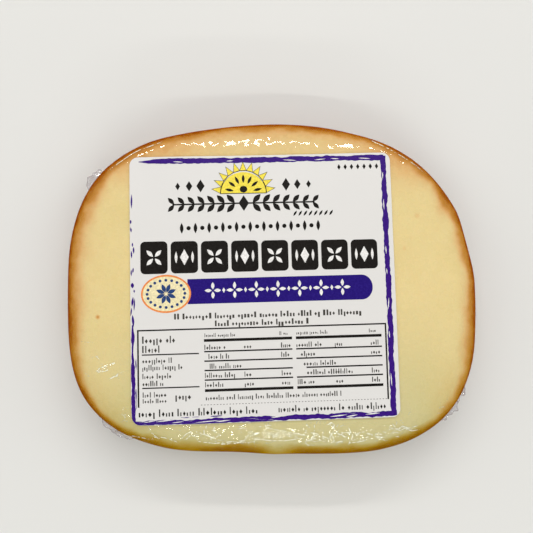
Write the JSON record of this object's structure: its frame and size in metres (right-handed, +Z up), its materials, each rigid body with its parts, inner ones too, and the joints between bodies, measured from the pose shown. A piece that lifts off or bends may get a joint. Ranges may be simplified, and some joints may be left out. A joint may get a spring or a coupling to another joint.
{
  "type": "vacuum-packed smoked provolone cheese slice",
  "caption": "Thick oval slice of smoked provolone shrunk into a clear film bag with small sealed ears, with a square paper label lying on its crowned top face.",
  "frame": {"origin": "on the ground under the middle of the pack's bounding box", "axes": "+Z up out of the labelled face, +X along the pack's length, +Y across it towards the label's upper edge"},
  "size_m": [0.124, 0.101, 0.0246],
  "materials": {
    "cheese": "pale waxy provolone paste with an amber smoked rind round the side, slightly glossy",
    "film": "clear glossy shrink film drawn tight over the cheese, with fine creases at the rims",
    "label_paper": "white satin label paper with flat printed colour"
  },
  "bodies": {
    "root": {"cheese_in_film": "film", "label": "label_paper"}
  },
  "joints": []
}
